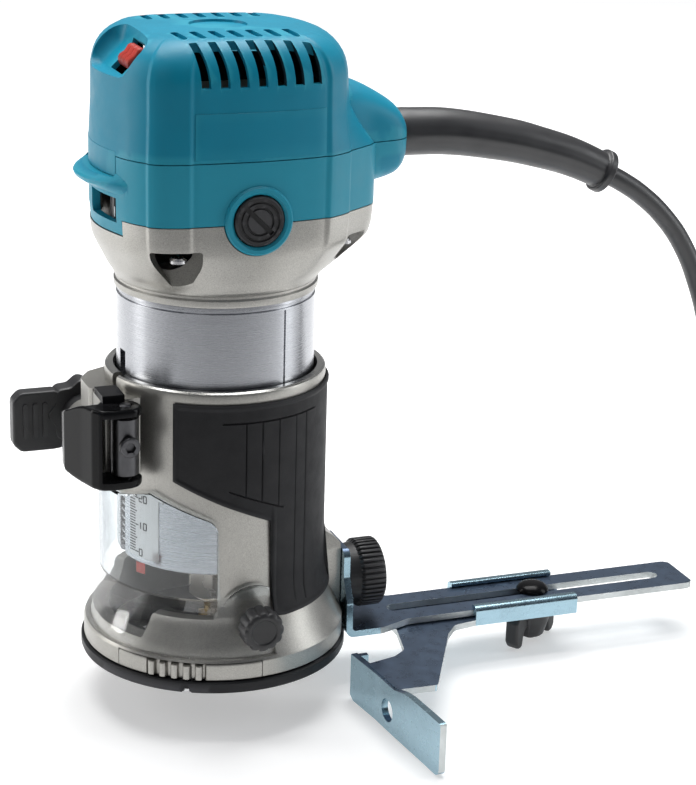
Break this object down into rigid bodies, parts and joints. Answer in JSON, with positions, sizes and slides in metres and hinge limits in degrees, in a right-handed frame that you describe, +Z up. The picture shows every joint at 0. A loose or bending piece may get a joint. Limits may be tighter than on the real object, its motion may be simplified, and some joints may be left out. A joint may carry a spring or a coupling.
{
  "type": "trim router",
  "caption": "Compact trim router: round motor unit in a clamp-type base with depth drive, clear guard, slotted straight guide and mains lead.",
  "frame": {"origin": "under the middle of the box of the tool with its guide (free cord, coil and plug left out), level with the lowest edge of the fence", "axes": "+Z up along the spindle, +X along the guide bar and towards the cord, -Y towards the face with the visible brush cap"},
  "size_m": [0.3932, 0.1635, 0.2278],
  "materials": {
    "teal_plastic": "fine textured moulded plastic",
    "cast_paint": "warm silver speckled paint on cast aluminium",
    "turned": "finely turned",
    "black_plastic": "satin moulded",
    "grip": "fine grained elastomer",
    "gloss_black": "gloss black",
    "rubber": "smooth",
    "zinc": "blue zinc plated sheet",
    "steel": "machined",
    "brass": "stamped",
    "copper": "copper",
    "clear": "clear moulded plastic",
    "red_plastic": "moulded",
    "sole_plastic": "smooth",
    "carbon": "carbon block",
    "board": "potted board",
    "scale_metal": "matt with printed ticks",
    "carbide": "bronze coloured cutter"
  },
  "bodies": {
    "motor": {"motor_housing": "cast_paint", "upper_housing": "teal_plastic", "lower_housing": "teal_plastic", "field_stator": "steel", "lower_bearing": "steel", "upper_bearing": "steel", "bearing_bridge": "black_plastic", "brush_holder_front": "brass", "brush_holder_rear": "brass", "carbon_brush_front": "carbon", "carbon_brush_rear": "carbon", "brush_cap_front": "black_plastic", "brush_cap_rear": "black_plastic", "switch_body": "black_plastic", "speed_controller": "board", "cord_boot": "rubber", "cord_clamp": "black_plastic", "power_cord": "rubber", "cord_coil": "rubber", "cord_tie": "black_plastic", "mains_plug": "black_plastic", "height_rack": "steel", "depth_scale": "scale_metal", "housing_screw_1": "steel", "housing_screw_2": "steel", "housing_screw_3": "steel", "housing_screw_4": "steel"},
    "rotor": {"armature_shaft": "steel", "armature_core": "copper", "commutator": "copper", "cooling_fan": "black_plastic", "collet_cone": "steel", "collet_nut": "steel", "router_bit": "carbide"},
    "rocker": {"power_rocker": "red_plastic"},
    "dial": {"speed_dial": "black_plastic"},
    "base": {"base_sleeve": "cast_paint", "sole_plate": "sole_plastic", "grip_pad": "grip", "clear_guard": "clear", "front_shoe": "cast_paint", "sole_screw_1": "steel", "sole_screw_2": "steel", "sole_screw_3": "steel", "sole_screw_4": "steel", "guide_bracket": "zinc", "clamp_bolt": "steel", "lever_pin": "steel"},
    "depth_drive": {"pinion_shaft": "steel", "depth_knob": "black_plastic"},
    "lever": {"clamp_lever": "gloss_black"},
    "front_screw": {"guard_screw_front": "black_plastic"},
    "rear_screw": {"guard_screw_rear": "black_plastic"},
    "clamp_knob": {"guide_knob": "black_plastic"},
    "carriage": {"fence_carriage": "zinc", "carriage_bolt": "gloss_black"},
    "wing": {"wing_nut": "black_plastic"}
  },
  "joints": [
    {"name": "depth_slide", "type": "slide", "parent": "motor", "child": "base", "axis": [0, 0, 1], "range_m": [-0.016, 0.024]},
    {"name": "depth_knob_spin", "type": "hinge", "parent": "base", "child": "depth_drive", "pos_m": [-0.0963, 0.0528, 0.089], "axis": [0, 1, 0], "range_deg": [-338.6, 338.6]},
    {"name": "clamp_lever_swing", "type": "hinge", "parent": "base", "child": "lever", "pos_m": [-0.0979, -0.0062, 0.1004], "axis": [0, 0, 1], "range_deg": [0, 95]},
    {"name": "spindle_spin", "type": "hinge", "parent": "motor", "child": "rotor", "pos_m": [-0.0606, 0.0188, 0.077], "axis": [0, 0, 1], "continuous": true},
    {"name": "power_rocker_tilt", "type": "hinge", "parent": "motor", "child": "rocker", "pos_m": [-0.0912, 0.0088, 0.2196], "axis": [0, 1, 0], "range_deg": [0, 12]},
    {"name": "speed_dial_turn", "type": "hinge", "parent": "motor", "child": "dial", "pos_m": [-0.0878, 0.0093, 0.173], "axis": [0, 0, 1], "range_deg": [0, 270]},
    {"name": "front_screw_turn", "type": "hinge", "parent": "base", "child": "front_screw", "pos_m": [-0.0588, -0.0222, 0.04], "axis": [0, -1, 0], "continuous": true},
    {"name": "rear_screw_turn", "type": "hinge", "parent": "base", "child": "rear_screw", "pos_m": [-0.0588, 0.0598, 0.04], "axis": [0, 1, 0], "continuous": true},
    {"name": "guide_knob_turn", "type": "hinge", "parent": "base", "child": "clamp_knob", "pos_m": [-0.0147, 0.0188, 0.035], "axis": [1, 0, 0], "continuous": true},
    {"name": "fence_slide", "type": "slide", "parent": "base", "child": "carriage", "axis": [1, 0, 0], "range_m": [-0.022, 0.045]},
    {"name": "wing_nut_turn", "type": "hinge", "parent": "carriage", "child": "wing", "pos_m": [0.0599, 0.0188, 0.009], "axis": [0, 0, 1], "continuous": true}
  ],
  "couplings": [
    {"joint": "depth_knob_spin", "follows": "depth_slide", "rad_per_m": 227.27}
  ]
}
